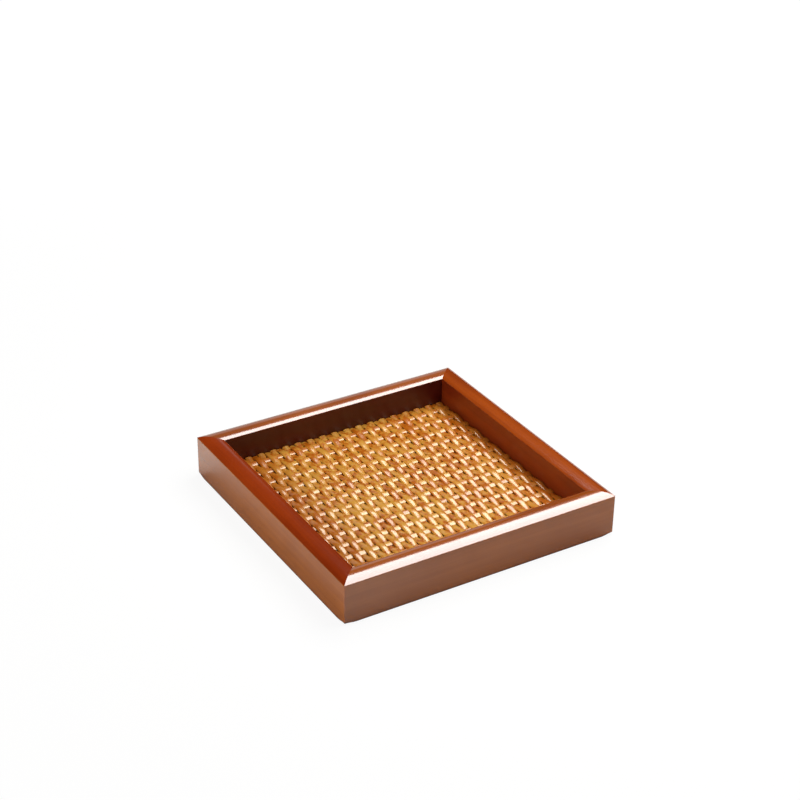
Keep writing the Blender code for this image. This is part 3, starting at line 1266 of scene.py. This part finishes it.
@dataclass(frozen=True)
class SoftLight:
    """A rectangular soft light, hung round the tray and facing it.

    Its azimuth, its elevation and its turn about its own middle are in degrees.
    """

    name: str
    azimuth: float
    elevation: float
    distance: float
    width: float
    height: float
    watts: float
    turn: float = 0.0

    def hang(self) -> None:
        """Hang the light at its distance, in the direction of its two angles."""
        azimuth, elevation = math.radians(self.azimuth), math.radians(self.elevation)
        flat = math.cos(elevation)
        away = Vector((flat * math.cos(azimuth), flat * math.sin(azimuth), math.sin(elevation)))
        light = bpy.data.lights.new(self.name, "AREA")
        light.shape = "RECTANGLE"
        light.size = self.width
        light.size_y = self.height
        light.energy = self.watts
        lamp = bpy.data.objects.new(self.name, light)
        lamp.location = away * self.distance
        lamp.visible_camera = False
        lamp.rotation_mode = "QUATERNION"
        spin = Matrix.Rotation(math.radians(self.turn), 3, "Z").to_quaternion()
        lamp.rotation_quaternion = away.to_track_quat("Z", "Y") @ spin
        bpy.context.scene.collection.objects.link(lamp)


SOFT_BOX = SoftLight(
    name="soft_box",
    azimuth=8.5,
    elevation=63.0,
    distance=0.794,
    width=0.52,
    height=0.83,
    watts=8.2,
    turn=75.4,
)
LEFT_FILL = SoftLight(
    name="left_fill", azimuth=186.0, elevation=22.0, distance=1.4, width=1.0, height=0.7, watts=7.5
)
BACK_CARD = SoftLight(
    name="back_card", azimuth=82.0, elevation=12.0, distance=2.0, width=1.7, height=1.0, watts=1.85
)


@dataclass
class Studio:
    """The floor, the soft lights, the fill and the camera."""

    floor_half: float = 6.0
    floor_drop: float = 0.05 * MILLIMETRE
    floor_colour: Colour = (0.86, 0.85, 0.83, 1.0)
    floor_in_mirror: Colour = (0.62, 0.61, 0.59, 1.0)
    white_in_camera: float = 0.90
    shadow_reach: float = 0.25
    all_white: float = 0.9
    white_strength: float = 1.02
    lights: tuple[SoftLight, ...] = (SOFT_BOX, LEFT_FILL, BACK_CARD)
    fill: float = 0.11
    mirror_fill: float = 0.0096
    lens: float = 83.26
    sensor: float = 36.0
    camera_nearest: float = 10.0 * MILLIMETRE
    camera_place: Triple = (-0.54398, -0.88194, 0.66130)
    camera_look: Triple = (0.45643, 0.74249, -0.49029)
    camera_roll: float = 0.88

    def floor(self) -> None:
        """Lay the pale floor, white to the camera but for a share that keeps the shadow."""
        half = self.floor_half
        corners = [(-half, -half), (half, -half), (half, half), (-half, half)]
        mesh = bpy.data.meshes.new("floor")
        mesh.from_pydata([(x, y, -self.floor_drop) for x, y in corners], [], [(0, 1, 2, 3)])
        material = bpy.data.materials.new("floor_white")
        material.use_nodes = True
        graph = Graph(material.node_tree)
        path = graph.node("ShaderNodeLightPath", {}, {})
        camera = Value(graph, path.outputs["Is Camera Ray"])
        glossy = Value(graph, path.outputs["Is Glossy Ray"])
        x, y, _ = graph.axes(graph.place())
        away = graph.math("SQRT", x * x + y * y).rise(self.shadow_reach, self.all_white)
        share = (self.white_in_camera + (1 - self.white_in_camera) * away) * camera
        colour = graph.mix(glossy, self.floor_colour, self.floor_in_mirror)
        matt = graph.node("ShaderNodeBsdfDiffuse", {}, {"Color": colour})
        glow = {"Color": WHITE, "Strength": self.white_strength}
        white = graph.node("ShaderNodeEmission", {}, glow)
        parts = {"Fac": share, "Shader": matt.outputs[0], "Shader_001": white.outputs[0]}
        shown = graph.node("ShaderNodeMixShader", {}, parts)
        graph.node("ShaderNodeOutputMaterial", {}, {"Surface": shown.outputs[0]})
        mesh.materials.append(material)
        floor = bpy.data.objects.new("floor", mesh)
        bpy.context.scene.collection.objects.link(floor)

    def surround(self) -> None:
        """Give an even dim fill, white to the camera and dark in the lacquer."""
        world = bpy.data.worlds.new("studio")
        bpy.context.scene.world = world
        world.use_nodes = True
        graph = Graph(world.node_tree)
        path = graph.node("ShaderNodeLightPath", {}, {})
        camera = Value(graph, path.outputs["Is Camera Ray"])
        glossy = Value(graph, path.outputs["Is Glossy Ray"])
        strength = self.fill + (1 - self.fill) * camera + (self.mirror_fill - self.fill) * glossy
        shell = graph.node("ShaderNodeBackground", {}, {"Color": WHITE, "Strength": strength})
        graph.node("ShaderNodeOutputWorld", {}, {"Surface": shell.outputs[0]})

    def camera(self) -> None:
        """Set the camera where the photograph was taken from."""
        look = Vector(self.camera_look).normalized()
        level = look.cross(Vector((0.0, 0.0, 1.0))).normalized()
        upright = level.cross(look)
        roll = math.radians(self.camera_roll)
        right = level * math.cos(roll) + upright * math.sin(roll)
        up = upright * math.cos(roll) - level * math.sin(roll)
        data = bpy.data.cameras.new("camera")
        data.lens = self.lens
        data.sensor_width = self.sensor
        data.clip_start = self.camera_nearest
        camera = bpy.data.objects.new("camera", data)
        turn = Matrix((right, up, -look)).transposed().to_4x4()
        camera.matrix_world = Matrix.Translation(self.camera_place) @ turn
        bpy.context.scene.collection.objects.link(camera)
        bpy.context.scene.camera = camera

    def build(self) -> None:
        """Set up the studio."""
        self.floor()
        for light in self.lights:
            light.hang()
        self.surround()
        self.camera()
        bpy.context.scene.view_settings.view_transform = "Standard"


def main() -> None:
    """Build the tray's looks and the studio round it."""
    logging.basicConfig(level=logging.INFO, format="%(name)s: %(message)s")
    Studio().build()
    RailFrame().build()
    WovenMat().build()
    HiddenWood().build()


if __name__ == "__main__":
    main()
